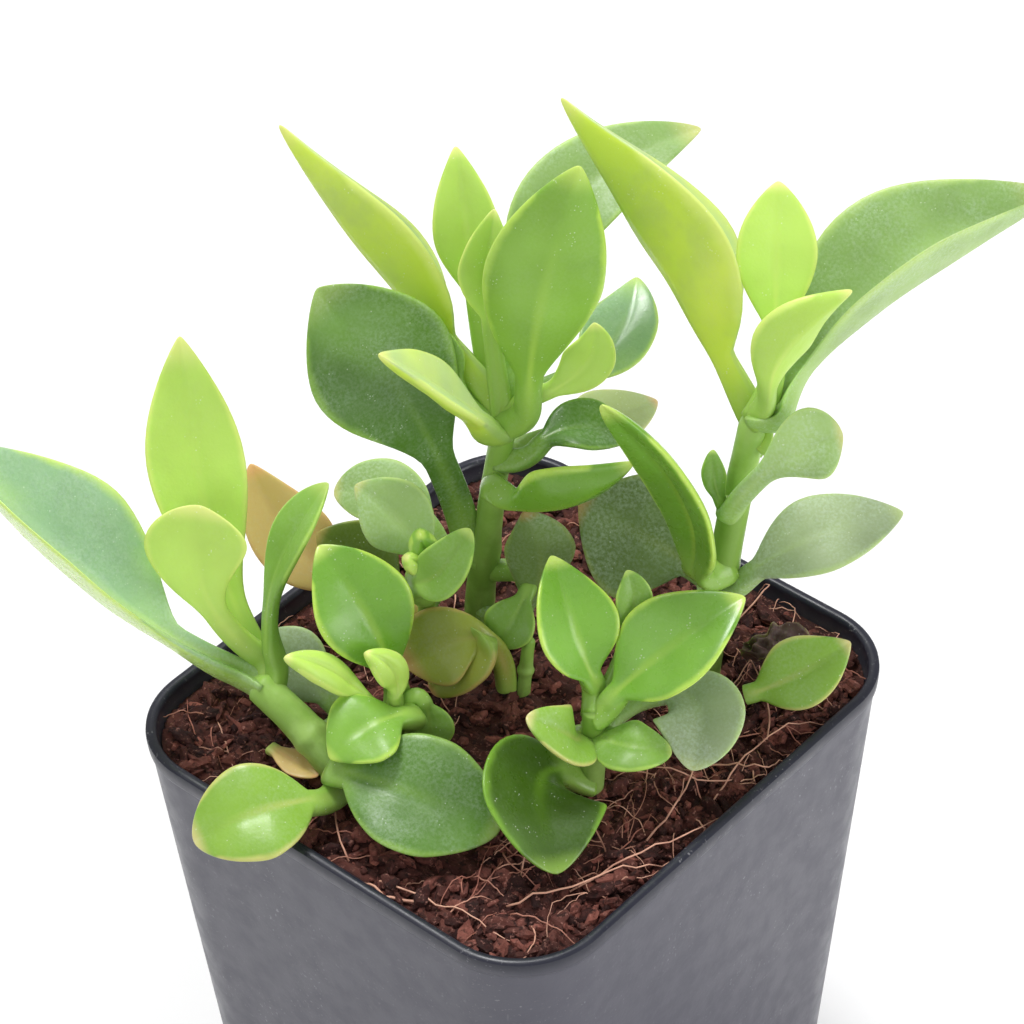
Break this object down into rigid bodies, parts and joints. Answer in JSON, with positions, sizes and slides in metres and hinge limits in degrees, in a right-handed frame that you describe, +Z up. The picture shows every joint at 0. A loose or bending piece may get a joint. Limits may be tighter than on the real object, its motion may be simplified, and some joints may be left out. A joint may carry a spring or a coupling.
{
  "type": "potted jade plant",
  "caption": "Small leafy succulent with thick pointed leaves on short upright stems, rooted in coir soil in a tapered square nursery pot that stands on its flat base.",
  "frame": {"origin": "centre of the flat underside of the pot's base", "axes": "+Z up, from the base to the leaves; +Y along the longer side of the pot's rim; +X along its shorter side"},
  "size_m": [0.095, 0.1058, 0.15],
  "materials": {
    "pot_plastic": "satin dark grey moulded polypropylene, lightly scuffed",
    "coir_soil": "crumbly red-brown coir fibre and peat, matt",
    "stem": "smooth pale green fleshy stem, soft sheen",
    "young_leaf": "lime green fleshy leaf with paler see-through margins, soft gloss",
    "mature_leaf": "mid-green fleshy leaf with fine sparkling grain, soft gloss",
    "dusty_leaf": "grey-green fleshy leaf, matt bloom",
    "peach_leaf": "ageing yellow to peach fleshy leaf, semi-matt",
    "withered_leaf": "dry shrivelled dark brown leaf, matt"
  },
  "bodies": {
    "root": {"pot": "pot_plastic", "soil": "coir_soil", "left_stem": "stem", "front_stem": "stem", "centre_stem": "stem", "bud_stem": "stem", "rear_stem": "stem", "right_stem": "stem", "low_stem": "stem", "left_leaf_long": "mature_leaf", "left_leaf_spoon": "young_leaf", "left_leaf_tall": "young_leaf", "left_leaf_narrow": "mature_leaf", "left_leaf_scrap": "peach_leaf", "front_leaf_back": "young_leaf", "front_leaf_finger": "young_leaf", "front_leaf_inner": "young_leaf", "front_leaf_right": "young_leaf", "front_leaf_rear": "young_leaf", "front_leaf_broad": "mature_leaf", "front_leaf_rim": "mature_leaf", "front_leaf_shaded": "dusty_leaf", "centre_leaf_large": "mature_leaf", "centre_leaf_long": "young_leaf", "centre_leaf_back": "young_leaf", "centre_leaf_mid": "young_leaf", "centre_leaf_front": "young_leaf", "centre_leaf_rear": "mature_leaf", "centre_leaf_left": "young_leaf", "centre_leaf_tiny": "mature_leaf", "centre_leaf_bluish": "dusty_leaf", "centre_leaf_dark": "mature_leaf", "centre_leaf_low": "young_leaf", "centre_leaf_pale": "peach_leaf", "centre_leaf_dusty": "dusty_leaf", "bud_leaf_frosted": "young_leaf", "bud_leaf_curled": "young_leaf", "bud_leaf_tip": "young_leaf", "rear_leaf_orange": "peach_leaf", "rear_leaf_grey": "dusty_leaf", "rear_leaf_olive": "mature_leaf", "twisted_leaf": "peach_leaf", "right_leaf_long": "young_leaf", "right_leaf_pale": "young_leaf", "right_leaf_top": "young_leaf", "right_leaf_large": "mature_leaf", "right_leaf_round": "mature_leaf", "right_leaf_tiny": "mature_leaf", "right_leaf_down": "mature_leaf", "right_leaf_dark": "dusty_leaf", "right_leaf_low": "dusty_leaf", "low_leaf_back": "young_leaf", "low_leaf_right": "young_leaf", "low_leaf_front": "mature_leaf", "low_leaf_pair": "mature_leaf", "low_leaf_round": "dusty_leaf", "low_leaf_bud": "mature_leaf", "low_leaf_dark": "mature_leaf", "fallen_leaf": "peach_leaf", "withered_leaf": "withered_leaf"}
  },
  "joints": []
}
